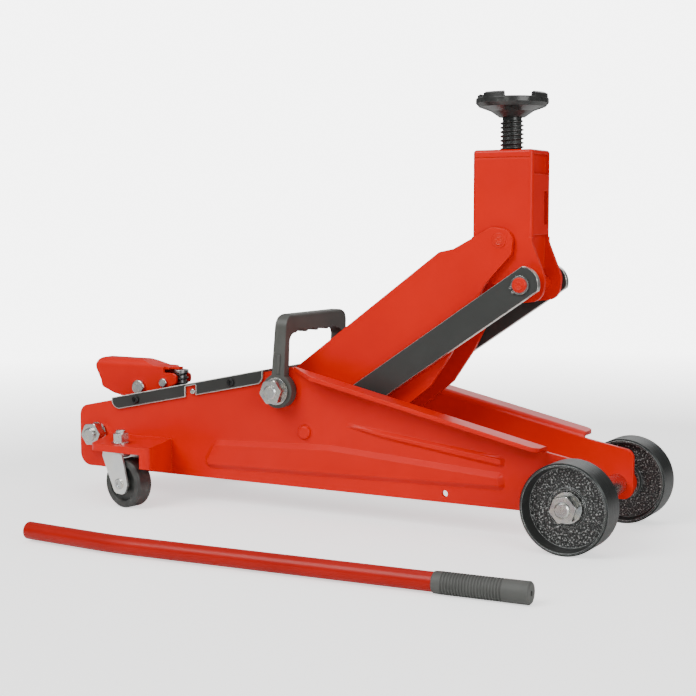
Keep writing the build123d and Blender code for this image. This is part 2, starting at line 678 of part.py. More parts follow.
def carry_handle():
    """Moulded bail: two tapering legs with round bosses and a grip with finger hollows below."""
    x, z = arm_pivot
    top, grip_bottom = 199.0, 180.0
    leg_inner, leg_outer = 51.6, 61.5
    lean, boss_radius = 4.5, 17.0
    low = z - boss_radius - 1
    outer = [(-leg_outer, low), (-59.5, top), (59.5, top), (leg_outer, low),
             (leg_inner, low), (52.0, grip_bottom), (-52.0, grip_bottom), (-leg_inner, low)]
    frame_face = make_face(FilletPolyline(*outer, radius=[2, 13, 13, 2, 2, 9, 9, 2], close=True))
    for place in range(4):
        y = -31.2 + 20.8 * place
        frame_face -= Pos(y, grip_bottom - 13.2) * Circle(16.0)
    bail = Plane.YZ.offset(x - 20) * extrude(frame_face, 40)
    side = [(x - 7.6, z), (x - 6.2 + lean, top + 1), (x + 6.2 + lean, top + 1), (x + 7.6, z)]
    shape = make_face(FilletPolyline(*side, radius=[0, 5, 5, 0], close=True))
    silhouette = Plane.XZ.offset(-80) * extrude(shape + Pos(x, z) * Circle(boss_radius), 160)
    bail &= silhouette
    return bail - rod_y(x, z, 7.0 + running_gap, -90, 90)


def handle_parts():
    """Pump handle lying on the floor: a slightly bent tube and its ribbed grip."""
    r = handle_tube_radius
    points = [(*handle_start, r), (*handle_bend, r), (*handle_finish, r)]
    path = FilletPolyline(*points, radius=320.0)
    start_plane = Plane(origin=path @ 0, z_dir=path % 0)
    outer = sweep(start_plane * Circle(r), path=path)
    bore = sweep(start_plane * Circle(r - 1.5), path=path)
    tube = outer - bore

    direction = Vector(*handle_finish, r) - Vector(*handle_bend, r)
    direction = direction.normalized()
    grip_length, grip_radius = 80.0, 9.2
    end = Vector(*handle_finish, r) + direction * 4
    place = Plane(origin=end, z_dir=direction * -1, x_dir=(0, 0, 1))
    outline = [(0, 0), (grip_radius - 1.2, 0), (grip_radius, 1.2), (grip_radius, 22)]
    ribs, rib_pitch = 20, 2.55
    for rib in range(ribs):
        z = 22 + rib * rib_pitch
        outline += [(grip_radius - 0.8, z + 0.45), (grip_radius - 0.8, z + 1.2), (grip_radius, z + 1.65),
                    (grip_radius, z + rib_pitch)]
    outline += [(grip_radius - 0.3, grip_length - 0.8), (r + 0.4, grip_length), (0, grip_length)]
    grip = place * revolve(Plane.XZ * make_face(Polyline(*outline, close=True)), Axis.Z)
    core = place * (Pos(0, 0, 4) * extrude(Circle(r), grip_length))
    hang_hole = place * (Pos(0, 0, -1) * extrude(Circle(2.2), 6))
    lift = Pos(0, 0, grip_radius - r)
    return lift * tube, lift * (grip - core - hang_hole)


# ---- build and write ---------------------------------------------------------------------------
plate = side_plate()
write("side_plate_right", plate)
write("side_plate_left", left_of(plate))
write("front_axle", front_axle())
write("axle_spacers", axle_spacers())
write("axle_washers", axle_washers())
write("axle_nuts", both_sides(nut_y(0, wheel_radius, 22, 10.8, stud_radius, axle_washer_outer,
                                    turn=12)))
write("arm_shaft", arm_shaft())
write("arm_sleeves", arm_sleeves())
write("carry_washers", both_sides(ring_y(*arm_pivot, 13.5, 7.0, 61.8, 63.8)))
write("carry_nuts", both_sides(nut_y(*arm_pivot, 22, 10.0, 7.0, 63.8, turn=8)))
write("rear_tie_rod", rear_tie_rod())
write("rear_tie_washers", both_sides(ring_y(*tie_rod_at, 12.0, 7.0, plate_outer, plate_outer + 2.5)))
write("rear_tie_nuts", both_sides(nut_y(*tie_rod_at, 22, 11.0, 7.0, plate_outer + 2.5, turn=5)))
write("top_cover", top_cover())
write("cover_screws", cover_screws())
cross_pin = rod_y(*cross_pin_at, 3.0, -54.5, 54.5)
write("cover_cross_pin", fillet(cross_pin.edges().filter_by(GeomType.CIRCLE), 1.2))
write("caster_kingpins", caster_kingpins())
write("caster_races", caster_races())
write("caster_nuts", caster_nuts())
write("link_rivets", link_rivets())

wheel = front_wheel()
fork = caster_fork()
small_wheel = caster_wheel()
axle_rivet = caster_axle()
bar = link()
for side, place in (("right", lambda shape: shape), ("left", left_of)):
    write(f"front_wheel_{side}", place(wheel))
    write(f"caster_fork_{side}", place(fork))
    write(f"caster_wheel_{side}", place(small_wheel))
    write(f"caster_axle_{side}", place(axle_rivet))
    write(f"link_{side}", place(bar))

write("hydraulic_block", hydraulic_block())
write("cylinder", cylinder())
write("reservoir", reservoir())
write("gland_nut", gland_nut())
write("ram", ram())
write("ram_head", ram_head())
write("pump_barrel", pump_barrel())
write("pump_plunger", pump_plunger())
write("pump_spring", pump_spring())
write("filler_plug", filler_plug())
write("release_valve", release_valve())

write("lift_arm", lift_arm())
write("crosshead_pin", crosshead_pin())
write("tower_pin", tower_pin())
write("tower", tower())
write("screw_nut", screw_nut())
write("link_pin", link_pin())
write("link_pin_sleeves", link_pin_sleeves())
write("link_pin_clips", link_pin_clips())
write("saddle_screw", saddle_screw())
write("saddle", saddle())

write("handle_socket", handle_socket())
write("socket_bolts", socket_bolts())
write("nose_bolt", nose_bolt())
write("carry_handle", carry_handle())
handle_tube, handle_grip = handle_parts()
write("handle_tube", handle_tube)
write("handle_grip", handle_grip)
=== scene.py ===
# Workshop trolley jack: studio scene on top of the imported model.
# Metres, +X to the front rollers, +Z up. Every CAD node keeps its place; pieces here ride on its bodies.
import json
import math

import bpy
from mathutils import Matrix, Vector


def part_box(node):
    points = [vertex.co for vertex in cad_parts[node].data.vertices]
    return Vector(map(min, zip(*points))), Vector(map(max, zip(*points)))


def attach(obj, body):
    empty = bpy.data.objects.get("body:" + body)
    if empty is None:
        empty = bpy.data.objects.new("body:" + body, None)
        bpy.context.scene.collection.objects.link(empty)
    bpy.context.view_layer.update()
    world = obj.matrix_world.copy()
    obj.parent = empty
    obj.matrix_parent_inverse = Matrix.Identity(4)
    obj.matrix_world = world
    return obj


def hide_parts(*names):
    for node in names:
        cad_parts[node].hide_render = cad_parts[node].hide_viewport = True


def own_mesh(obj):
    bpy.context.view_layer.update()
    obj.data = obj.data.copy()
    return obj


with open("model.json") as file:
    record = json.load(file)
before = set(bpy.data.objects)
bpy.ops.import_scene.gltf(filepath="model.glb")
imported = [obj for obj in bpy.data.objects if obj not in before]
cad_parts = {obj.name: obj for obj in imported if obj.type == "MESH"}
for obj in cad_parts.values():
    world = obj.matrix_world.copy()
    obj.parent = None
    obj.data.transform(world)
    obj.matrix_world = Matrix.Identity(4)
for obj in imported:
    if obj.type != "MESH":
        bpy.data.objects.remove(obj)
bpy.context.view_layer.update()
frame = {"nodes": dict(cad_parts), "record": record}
nodes = frame["nodes"]
bodyOf = {node: body for body, members in frame["record"]["behaviour"]["bodies"].items()
          for node in members}
mm = 0.001


def linear(hexColour):
    parts = [int(hexColour[i:i + 2], 16) / 255 for i in (1, 3, 5)]
    return tuple(p / 12.92 if p <= 0.04045 else ((p + 0.055) / 1.055) ** 2.4 for p in parts) + (1,)


def addNode(tree, kind, settings=None, links=None):
    # settings with a word name set the node itself, those in "in" set its sockets
    node = tree.nodes.new(kind)
    for name, value in (settings or {}).items():
        if name == "in":
            for socket, number in value.items():
                node.inputs[socket].default_value = number
        elif name == "stops":
            ramp = node.color_ramp
            while len(ramp.elements) < len(value):
                ramp.elements.new(0.5)
            for element, (place, colour) in zip(ramp.elements, value):
                element.position = place
                element.color = colour
        else:
            setattr(node, name, value)
    for socket, source in (links or {}).items():
        tree.links.new(source, node.inputs[socket])
    return node


def newMaterial(name):
    material = bpy.data.materials.new(name)
    material.use_nodes = True
    tree = material.node_tree
    tree.nodes.clear()
    return material, tree


def perMetre(millimetres):
    # noise scale that gives features of this size
    return 1000.0 / millimetres


def closeMaterial(tree, settings, links):
    shader = addNode(tree, "ShaderNodeBsdfPrincipled", {"in": settings}, links)
    out = addNode(tree, "ShaderNodeOutputMaterial")
    tree.links.new(shader.outputs[0], out.inputs[0])
    return shader


def sprayedEnamel(name, look):
    # Gloss enamel sprayed on pressed steel: a smooth wet shine with a faint orange-peel ripple,
    # and a painted highlight: the colour turns paler along the edges, as if they caught the light.
    material, tree = newMaterial(name)
    coord = addNode(tree, "ShaderNodeTexCoord")
    place = coord.outputs["Object"]
    cloud = addNode(tree, "ShaderNodeTexNoise", {"in": {"Scale": perMetre(look["cloudMm"]), "Detail": 3.0}},
                    {"Vector": place})
    tone = addNode(tree, "ShaderNodeValToRGB", {"stops": [
        (0.3, linear(look["shade"])), (0.7, linear(look["colour"]))]}, {"Fac": cloud.outputs["Fac"]})
    peel = addNode(tree, "ShaderNodeTexNoise", {"in": {"Scale": perMetre(look["peelMm"]), "Detail": 1.5}},
                   {"Vector": place})
    roundEdge = addNode(tree, "ShaderNodeBevel", {"samples": 4, "in": {"Radius": look["edgeMm"] * mm}})
    flat = addNode(tree, "ShaderNodeNewGeometry")
    turn = addNode(tree, "ShaderNodeVectorMath", {"operation": "DOT_PRODUCT"},
                   {0: roundEdge.outputs[0], 1: flat.outputs["Normal"]})
    # painted highlight: along the rounded edges the colour turns to the paler edge colour
    enamelHighlightMask = addNode(tree, "ShaderNodeMapRange", {"in": {"From Min": 0.995, "From Max": 0.80, "To Max": 0.55}},
                   {"Value": turn.outputs["Value"]})
    enamelHighlighted = addNode(tree, "ShaderNodeMix", {"data_type": "RGBA"}, {"Factor": enamelHighlightMask.outputs[0]})
    tree.links.new(tone.outputs[0], enamelHighlighted.inputs["A"])
    enamelHighlighted.inputs["B"].default_value = linear(look["edge"])
    smear = addNode(tree, "ShaderNodeTexNoise", {"in": {"Scale": perMetre(18), "Detail": 4.0}},
                    {"Vector": place})
    rough = addNode(tree, "ShaderNodeMapRange",
                    {"in": {"To Min": look["gloss"] - 0.05, "To Max": look["gloss"] + 0.09}},
                    {"Value": smear.outputs["Fac"]})
    bump = addNode(tree, "ShaderNodeBump", {"in": {"Strength": 0.12, "Distance": 0.00012}},
                   {"Height": peel.outputs["Fac"], "Normal": roundEdge.outputs[0]})
    closeMaterial(tree, {"IOR": 1.45, "Specular IOR Level": 0.22, "Coat Weight": 0.05, "Coat Roughness": 0.12},
                  {"Base Color": enamelHighlighted.outputs["Result"], "Roughness": rough.outputs[0],
                   "Normal": bump.outputs[0]})
    return material


def shearedBarPaint(name, look):
    # Black satin paint on sheared flat bar: the broad faces are painted, the cut edges are rubbed
    # bright, so each bar is outlined by a thin line of bare steel.
    material, tree = newMaterial(name)
    coord = addNode(tree, "ShaderNodeTexCoord")
    place = coord.outputs["Object"]
    parts = addNode(tree, "ShaderNodeSeparateXYZ", links={"Vector": coord.outputs["Normal"]})
    side = addNode(tree, "ShaderNodeMath", {"operation": "ABSOLUTE"}, {0: parts.outputs[look["axis"]]})
    grain = addNode(tree, "ShaderNodeTexNoise", {"in": {"Scale": perMetre(2.5), "Detail": 5.0}},
                    {"Vector": place})
    bare = addNode(tree, "ShaderNodeMapRange", {"in": {"From Min": 0.75, "From Max": 0.35}},
                   {"Value": side.outputs[0]})
    spot = addNode(tree, "ShaderNodeMapRange", {"in": {"From Min": 0.28, "From Max": 0.45}},
                   {"Value": grain.outputs["Fac"]})
    roundEdge = addNode(tree, "ShaderNodeBevel", {"samples": 6, "in": {"Radius": look["edgeMm"] * mm}})
    flat = addNode(tree, "ShaderNodeNewGeometry")
    turn = addNode(tree, "ShaderNodeVectorMath", {"operation": "DOT_PRODUCT"},
                   {0: roundEdge.outputs[0], 1: flat.outputs["Normal"]})
    corner = addNode(tree, "ShaderNodeMapRange", {"in": {"From Min": 0.985, "From Max": 0.88}},
                     {"Value": turn.outputs["Value"]})
    edges = addNode(tree, "ShaderNodeMath", {"operation": "MAXIMUM"},
                    {0: bare.outputs[0], 1: corner.outputs[0]})
    worn = addNode(tree, "ShaderNodeMath", {"operation": "MULTIPLY"}, {0: edges.outputs[0], 1: spot.outputs[0]})
    cloud = addNode(tree, "ShaderNodeTexNoise", {"in": {"Scale": perMetre(40), "Detail": 3.0}},
                    {"Vector": place})
    tone = addNode(tree, "ShaderNodeValToRGB", {"stops": [
        (0.3, linear(look["shade"])), (0.7, linear(look["colour"]))]}, {"Fac": cloud.outputs["Fac"]})
    mixed = addNode(tree, "ShaderNodeMix", {"data_type": "RGBA"}, {"Factor": worn.outputs[0]})
    tree.links.new(tone.outputs[0], mixed.inputs["A"])
    mixed.inputs["B"].default_value = linear(look["bare"])
    rough = addNode(tree, "ShaderNodeMapRange", {"in": {"To Min": 0.42, "To Max": 0.3}},
                    {"Value": worn.outputs[0]})
    fine = addNode(tree, "ShaderNodeTexNoise", {"in": {"Scale": perMetre(0.8), "Detail": 2.0}},
                   {"Vector": place})
    bump = addNode(tree, "ShaderNodeBump", {"in": {"Strength": 0.18, "Distance": 0.00008}},
                   {"Height": fine.outputs["Fac"], "Normal": roundEdge.outputs[0]})
    closeMaterial(tree, {"IOR": 1.5}, {"Base Color": mixed.outputs["Result"], "Metallic": worn.outputs[0],
                                       "Roughness": rough.outputs[0], "Normal": bump.outputs[0]})
    return material


def foldedBlackPaint(name, look):
    # Black satin paint on thin folded sheet: soft broad reflections and a painted highlight, a pale line along the
    # folds.
    material, tree = newMaterial(name)
    coord = addNode(tree, "ShaderNodeTexCoord")
    place = coord.outputs["Object"]
    cloud = addNode(tree, "ShaderNodeTexNoise", {"in": {"Scale": perMetre(30), "Detail": 3.0}},
                    {"Vector": place})
    tone = addNode(tree, "ShaderNodeValToRGB", {"stops": [
        (0.3, linear(look["shade"])), (0.7, linear(look["colour"]))]}, {"Fac": cloud.outputs["Fac"]})
    roundEdge = addNode(tree, "ShaderNodeBevel", {"samples": 6, "in": {"Radius": look["edgeMm"] * mm}})
    flat = addNode(tree, "ShaderNodeNewGeometry")
    turn = addNode(tree, "ShaderNodeVectorMath", {"operation": "DOT_PRODUCT"},
                   {0: roundEdge.outputs[0], 1: flat.outputs["Normal"]})
    # painted highlight: a pale line along the folds, where the bevel normal turns away
    paintedHighlightMask = addNode(tree, "ShaderNodeMapRange", {"in": {"From Min": 0.99, "From Max": 0.90}},
                  {"Value": turn.outputs["Value"]})
    mixed = addNode(tree, "ShaderNodeMix", {"data_type": "RGBA"}, {"Factor": paintedHighlightMask.outputs[0]})
    tree.links.new(tone.outputs[0], mixed.inputs["A"])
    mixed.inputs["B"].default_value = linear(look["paintedHighlightColour"])
    fine = addNode(tree, "ShaderNodeTexNoise", {"in": {"Scale": perMetre(0.7), "Detail": 2.0}},
                   {"Vector": place})
    bump = addNode(tree, "ShaderNodeBump", {"in": {"Strength": 0.15, "Distance": 0.00008}},
                   {"Height": fine.outputs["Fac"], "Normal": roundEdge.outputs[0]})
    closeMaterial(tree, {"IOR": 1.5, "Roughness": look["gloss"]},
                  {"Base Color": mixed.outputs["Result"], "Normal": bump.outputs[0]})
    return material


def zincPlate(name, look):
    # Bright zinc plating on rolled or forged steel: silvery, a little cloudy, with faint blue and straw tints.
    material, tree = newMaterial(name)
    coord = addNode(tree, "ShaderNodeTexCoord")
    place = coord.outputs["Object"]
    cloud = addNode(tree, "ShaderNodeTexNoise", {"in": {"Scale": perMetre(look["cloudMm"]), "Detail": 4.0}},
                    {"Vector": place})
    tint = addNode(tree, "ShaderNodeValToRGB", {"stops": [
        (0.25, linear(look["cool"])), (0.5, linear(look["colour"])), (0.78, linear(look["warm"]))]},
        {"Fac": cloud.outputs["Fac"]})
    fine = addNode(tree, "ShaderNodeTexNoise", {"in": {"Scale": perMetre(0.6), "Detail": 3.0}},
                   {"Vector": place})
    rough = addNode(tree, "ShaderNodeMapRange",
                    {"in": {"To Min": look["gloss"] - 0.08, "To Max": look["gloss"] + 0.14}},
                    {"Value": cloud.outputs["Fac"]})
    roundEdge = addNode(tree, "ShaderNodeBevel", {"samples": 4, "in": {"Radius": 0.4 * mm}})
    bump = addNode(tree, "ShaderNodeBump", {"in": {"Strength": 0.2, "Distance": 0.00006}},
                   {"Height": fine.outputs["Fac"], "Normal": roundEdge.outputs[0]})
    closeMaterial(tree, {"Metallic": 1.0}, {"Base Color": tint.outputs[0], "Roughness": rough.outputs[0],
                                            "Normal": bump.outputs[0]})
    return material


def rollerCasting(name, look):
    # Cast iron roller: sand-cast web dipped in black, pebbled like hammered paint, and a tread worn
    # bright grey with fine rolling marks round it; pale painted highlights line the rim edges.
    material, tree = newMaterial(name)
    coord = addNode(tree, "ShaderNodeTexCoord")
    place = coord.outputs["Object"]
    centred = addNode(tree, "ShaderNodeMapping", {"in": {"Location": (0, 0, -look["axleHeightMm"] * mm)}},
                      {"Vector": place})
    flatWay = addNode(tree, "ShaderNodeVectorMath", {"operation": "MULTIPLY"}, {0: centred.outputs[0]})
    flatWay.inputs[1].default_value = (1, 0, 1)
    radius = addNode(tree, "ShaderNodeVectorMath", {"operation": "LENGTH"}, {0: flatWay.outputs[0]})
    tread = addNode(tree, "ShaderNodeMapRange", {"in": {"From Min": look["treadFromMm"] * mm,
                    "From Max": (look["treadFromMm"] + 1.2) * mm}}, {"Value": radius.outputs["Value"]})
    pebble = addNode(tree, "ShaderNodeTexVoronoi", {"feature": "SMOOTH_F1", "in": {
        "Scale": perMetre(look["pebbleMm"]), "Smoothness": 0.7}}, {"Vector": place})
    speck = addNode(tree, "ShaderNodeTexNoise",
                    {"in": {"Scale": perMetre(1.6), "Detail": 4.0, "Roughness": 0.65}},
                    {"Vector": place})
    speckled = addNode(tree, "ShaderNodeValToRGB", {"stops": [
        (0.38, linear(look["dark"])), (0.55, linear(look["mid"])), (0.66, linear(look["speck"]))]},
        {"Fac": speck.outputs["Fac"]})
    facing = addNode(tree, "ShaderNodeSeparateXYZ", links={"Vector": coord.outputs["Normal"]})
    level = addNode(tree, "ShaderNodeMath", {"operation": "ABSOLUTE"}, {0: facing.outputs["Y"]})
    onWeb = addNode(tree, "ShaderNodeMapRange", {"in": {"From Min": 0.9, "From Max": 0.98}},
                    {"Value": level.outputs[0]})
    webTone = addNode(tree, "ShaderNodeMix", {"data_type": "RGBA"}, {"Factor": onWeb.outputs[0]})
    webTone.inputs["A"].default_value = linear(look["wall"])
    tree.links.new(speckled.outputs[0], webTone.inputs["B"])
    rings = addNode(tree, "ShaderNodeTexNoise", {"in": {"Scale": perMetre(1.5), "Detail": 4.0}},
                    {"Vector": addNode(tree, "ShaderNodeMapping", {"in": {"Scale": (0.15, 1, 0.15)}},
                                       {"Vector": place}).outputs[0]})
    treadTone = addNode(tree, "ShaderNodeValToRGB", {"stops": [
        (0.3, linear(look["treadDark"])), (0.7, linear(look["tread"]))]}, {"Fac": rings.outputs["Fac"]})
    mixed = addNode(tree, "ShaderNodeMix", {"data_type": "RGBA"}, {"Factor": tread.outputs[0]})
    tree.links.new(webTone.outputs["Result"], mixed.inputs["A"])
    tree.links.new(treadTone.outputs[0], mixed.inputs["B"])
    height = addNode(tree, "ShaderNodeMix", {"data_type": "FLOAT"}, {"Factor": tread.outputs[0]})
    tree.links.new(pebble.outputs["Distance"], height.inputs["A"])
    tree.links.new(rings.outputs["Fac"], height.inputs["B"])
    metal = addNode(tree, "ShaderNodeMapRange", {"in": {"To Min": 0.25, "To Max": 0.85}},
                    {"Value": tread.outputs[0]})
    rough = addNode(tree, "ShaderNodeMapRange", {"in": {"To Min": 0.38, "To Max": 0.42}},
                    {"Value": tread.outputs[0]})
    roundEdge = addNode(tree, "ShaderNodeBevel", {"samples": 4, "in": {"Radius": 0.7 * mm}})
    bump = addNode(tree, "ShaderNodeBump", {"in": {"Strength": 0.55, "Distance": look["reliefMm"] * mm}},
                   {"Height": height.outputs["Result"], "Normal": roundEdge.outputs[0]})
    flat = addNode(tree, "ShaderNodeNewGeometry")
    turn = addNode(tree, "ShaderNodeVectorMath", {"operation": "DOT_PRODUCT"},
                   {0: roundEdge.outputs[0], 1: flat.outputs["Normal"]})
    # painted highlight: pale lines along the rim edges
    paintedHighlightMask = addNode(tree, "ShaderNodeMapRange", {"in": {"From Min": 0.98, "From Max": 0.88, "To Max": 0.8}},
                  {"Value": turn.outputs["Value"]})
    lined = addNode(tree, "ShaderNodeMix", {"data_type": "RGBA"}, {"Factor": paintedHighlightMask.outputs[0]})
    tree.links.new(mixed.outputs["Result"], lined.inputs["A"])
    lined.inputs["B"].default_value = linear(look["paintedHighlightColour"])
    closeMaterial(tree, {}, {"Base Color": lined.outputs["Result"], "Metallic": metal.outputs[0],
                             "Roughness": rough.outputs[0], "Normal": bump.outputs[0]})
    return material


def blackedCasting(name, look):
    # Blackened casting or forging: dark, satin, with a fine sandy skin and a grey bloom on the high spots.
    material, tree = newMaterial(name)
    coord = addNode(tree, "ShaderNodeTexCoord")
    place = coord.outputs["Object"]
    cloud = addNode(tree, "ShaderNodeTexNoise", {"in": {"Scale": perMetre(look["cloudMm"]), "Detail": 5.0}},
                    {"Vector": place})
    tone = addNode(tree, "ShaderNodeValToRGB", {"stops": [
        (0.3, linear(look["dark"])), (0.6, linear(look["colour"])), (0.8, linear(look["bloom"]))]},
        {"Fac": cloud.outputs["Fac"]})
    sand = addNode(tree, "ShaderNodeTexNoise", {"in": {"Scale": perMetre(look["sandMm"]), "Detail": 4.0}},
                   {"Vector": place})
    rough = addNode(tree, "ShaderNodeMapRange",
                    {"in": {"To Min": look["gloss"] - 0.07, "To Max": look["gloss"] + 0.15}},
                    {"Value": cloud.outputs["Fac"]})
    roundEdge = addNode(tree, "ShaderNodeBevel", {"samples": 4, "in": {"Radius": 0.6 * mm}})
    bump = addNode(tree, "ShaderNodeBump", {"in": {"Strength": 0.4, "Distance": look["reliefMm"] * mm}},
                   {"Height": sand.outputs["Fac"], "Normal": roundEdge.outputs[0]})
    closeMaterial(tree, {"Metallic": look["metal"]},
                  {"Base Color": tone.outputs[0], "Roughness": rough.outputs[0],
                                                      "Normal": bump.outputs[0]})
    return material


def mouldedPlastic(name, look):
    # Injection-moulded nylon or soft rubber: even colour, matt spark-eroded grain, soft highlights.
    material, tree = newMaterial(name)
    coord = addNode(tree, "ShaderNodeTexCoord")
    place = coord.outputs["Object"]
    cloud = addNode(tree, "ShaderNodeTexNoise", {"in": {"Scale": perMetre(25), "Detail": 3.0}},
                    {"Vector": place})
    tone = addNode(tree, "ShaderNodeValToRGB", {"stops": [
        (0.3, linear(look["shade"])), (0.7, linear(look["colour"]))]}, {"Fac": cloud.outputs["Fac"]})
    grain = addNode(tree, "ShaderNodeTexVoronoi", {"in": {"Scale": perMetre(look["grainMm"])}},
                    {"Vector": place})
    roundEdge = addNode(tree, "ShaderNodeBevel", {"samples": 4, "in": {"Radius": look["edgeMm"] * mm}})
    bump = addNode(tree, "ShaderNodeBump", {"in": {"Strength": 0.25, "Distance": 0.00012}},
                   {"Height": grain.outputs["Distance"], "Normal": roundEdge.outputs[0]})
    rough = addNode(tree, "ShaderNodeMapRange",
                    {"in": {"To Min": look["gloss"] - 0.05, "To Max": look["gloss"] + 0.1}},
                    {"Value": cloud.outputs["Fac"]})
    closeMaterial(tree, {"IOR": 1.5}, {"Base Color": tone.outputs[0], "Roughness": rough.outputs[0],
                                       "Normal": bump.outputs[0]})
    return material


def turnedSteel(name, look):
    # Ground or polished steel bar: mirror-like along its length with fine turning lines round it.
    material, tree = newMaterial(name)
    coord = addNode(tree, "ShaderNodeTexCoord")
    stretched = addNode(tree, "ShaderNodeMapping", {"in": {"Scale": look["stretch"]}},
                        {"Vector": coord.outputs["Object"]})
    lines = addNode(tree, "ShaderNodeTexNoise", {"in": {"Scale": perMetre(0.8), "Detail": 3.0}},
                    {"Vector": stretched.outputs[0]})
    tone = addNode(tree, "ShaderNodeValToRGB", {"stops": [
        (0.3, linear(look["dark"])), (0.7, linear(look["colour"]))]}, {"Fac": lines.outputs["Fac"]})
    rough = addNode(tree, "ShaderNodeMapRange",
                    {"in": {"To Min": look["gloss"], "To Max": look["gloss"] + 0.12}},
                    {"Value": lines.outputs["Fac"]})
    bump = addNode(tree, "ShaderNodeBump", {"in": {"Strength": 0.1, "Distance": 0.00005}},
                   {"Height": lines.outputs["Fac"]})
    closeMaterial(tree, {"Metallic": 1.0}, {"Base Color": tone.outputs[0], "Roughness": rough.outputs[0],
                                            "Normal": bump.outputs[0]})
    return material


# the edge colours of the two enamels are painted highlights along the rounded edges
frameEnamel = sprayedEnamel("vermilion_sprayed_enamel", {
    "colour": "#D21200", "shade": "#C60F00", "edge": "#EA4418", "cloudMm": 90, "peelMm": 1.4,
    "edgeMm": 0.9, "gloss": 0.36})
tubeEnamel = sprayedEnamel("deep_red_sprayed_enamel", {
    "colour": "#A80E02", "shade": "#9C0C01", "edge": "#C82E14", "cloudMm": 60, "peelMm": 1.4,
    "edgeMm": 0.5, "gloss": 0.32})
barPaint = shearedBarPaint("black_painted_flat_bar", {
    "colour": "#2F312F", "shade": "#292B29", "bare": "#E2E2DC", "axis": "Y", "edgeMm": 1.1})
# its pale colour is a painted highlight along the folds
coverPaint = foldedBlackPaint("black_painted_folded_sheet", {
    "colour": "#2C2D2B", "shade": "#252624", "paintedHighlightColour": "#F2F2EC", "edgeMm": 1.9, "gloss": 0.28})
zinc = zincPlate("bright_zinc_plate", {
    "colour": "#C6C7C4", "cool": "#AEB4B8", "warm": "#CFCBBB", "cloudMm": 5, "gloss": 0.22})
forkZinc = zincPlate("dull_zinc_plated_pressing", {
    "colour": "#F2F3F0", "cool": "#E4E8E9", "warm": "#F2F0E6", "cloudMm": 22, "gloss": 0.4})
# its pale rim colour is a painted highlight along the rim edges
rollerIron = rollerCasting("hammered_black_cast_iron", {
    "axleHeightMm": 41, "treadFromMm": 38.2, "pebbleMm": 2.2, "reliefMm": 0.35, "dark": "#0E0F0E",
    "mid": "#3A3C3B", "speck": "#C8CAC8", "treadDark": "#232524", "tread": "#3C3F3E", "paintedHighlightColour": "#B4B8B6",
    "wall": "#2B2C2B"})
casterIron = blackedCasting("black_enamelled_caster_iron", {
    "colour": "#3B3C3A", "dark": "#282928", "bloom": "#5A5B59", "cloudMm": 9, "sandMm": 1.0,
    "reliefMm": 0.12, "gloss": 0.36, "metal": 0.1})
saddleIron = blackedCasting("blackened_saddle_casting", {
    "colour": "#3A3B3A", "dark": "#242524", "bloom": "#5E605D", "cloudMm": 12, "sandMm": 2.4,
    "reliefMm": 0.3, "gloss": 0.2, "metal": 0.2})
springSteel = blackedCasting("oiled_black_spring_steel", {
    "colour": "#2A2B2B", "dark": "#161717", "bloom": "#55585A", "cloudMm": 3, "sandMm": 0.8,
    "reliefMm": 0.05, "gloss": 0.3, "metal": 0.6})
handlePlastic = mouldedPlastic("black_moulded_nylon", {
    "colour": "#4B4C48", "shade": "#42433F", "grainMm": 0.7, "edgeMm": 1.4, "gloss": 0.44})
gripRubber = mouldedPlastic("grey_moulded_rubber", {
    "colour": "#4C4D4A", "shade": "#424340", "grainMm": 0.8, "edgeMm": 0.5, "gloss": 0.58})
ramChrome = turnedSteel("hard_chromed_ram_steel", {
    "colour": "#E4E5E6", "dark": "#CFD1D3", "gloss": 0.08, "stretch": (1.0, 0.1, 0.1)})
groundSteel = turnedSteel("ground_bare_steel", {
    "colour": "#B9BABA", "dark": "#949696", "gloss": 0.26, "stretch": (0.3, 1.0, 0.3)})
print("materials ready")

finishOf = {
    frameEnamel: ["side_plate_right", "side_plate_left", "axle_spacers", "link_rivets", "hydraulic_block",
                  "reservoir", "gland_nut", "ram_head", "lift_arm", "tower_pin", "tower", "screw_nut",
                  "link_pin", "link_pin_sleeves", "handle_socket"],
    tubeEnamel: ["handle_tube"],
    barPaint: ["link_right", "link_left"],
    coverPaint: ["top_cover"],
    zinc: ["front_axle", "axle_washers", "axle_nuts", "arm_shaft", "arm_sleeves", "carry_washers",
           "carry_nuts", "rear_tie_rod", "rear_tie_washers", "rear_tie_nuts", "cover_cross_pin",
           "link_pin_clips", "caster_kingpins", "caster_races", "caster_nuts", "caster_axle_right",
           "caster_axle_left", "release_valve", "socket_bolts", "nose_bolt"],
    forkZinc: ["caster_fork_right", "caster_fork_left"],
    rollerIron: ["front_wheel_right", "front_wheel_left"],
    casterIron: ["caster_wheel_right", "caster_wheel_left"],
    saddleIron: ["saddle_screw", "saddle"],
    springSteel: ["pump_spring", "cover_screws"],
    handlePlastic: ["carry_handle", "filler_plug"],
    gripRubber: ["handle_grip"],
    ramChrome: ["ram"],
    groundSteel: ["cylinder", "pump_barrel", "pump_plunger", "crosshead_pin"],
}
for finish, names in finishOf.items():
    for name in names:
        mesh = nodes[name].data
        mesh.materials.clear()
        mesh.materials.append(finish)
print("finishes on", sum(len(names) for names in finishOf.values()), "nodes")


def deselectAll():
    if bpy.context.object and bpy.context.object.mode != "OBJECT":
        bpy.ops.object.mode_set(mode="OBJECT")
    bpy.ops.object.select_all(action="DESELECT")


def pickEdges(piece, test):
    # leaves the piece in edit mode with only the edges selected that pass the test on both ends
    bpy.ops.object.mode_set(mode="EDIT")
    bpy.ops.mesh.select_mode(type="EDGE")
    bpy.ops.mesh.select_all(action="DESELECT")
    bpy.ops.object.mode_set(mode="OBJECT")
    spots = piece.data.vertices
    for edge in piece.data.edges:
        edge.select = all(test(spots[i].co) for i in edge.vertices)
    bpy.ops.object.mode_set(mode="EDIT")


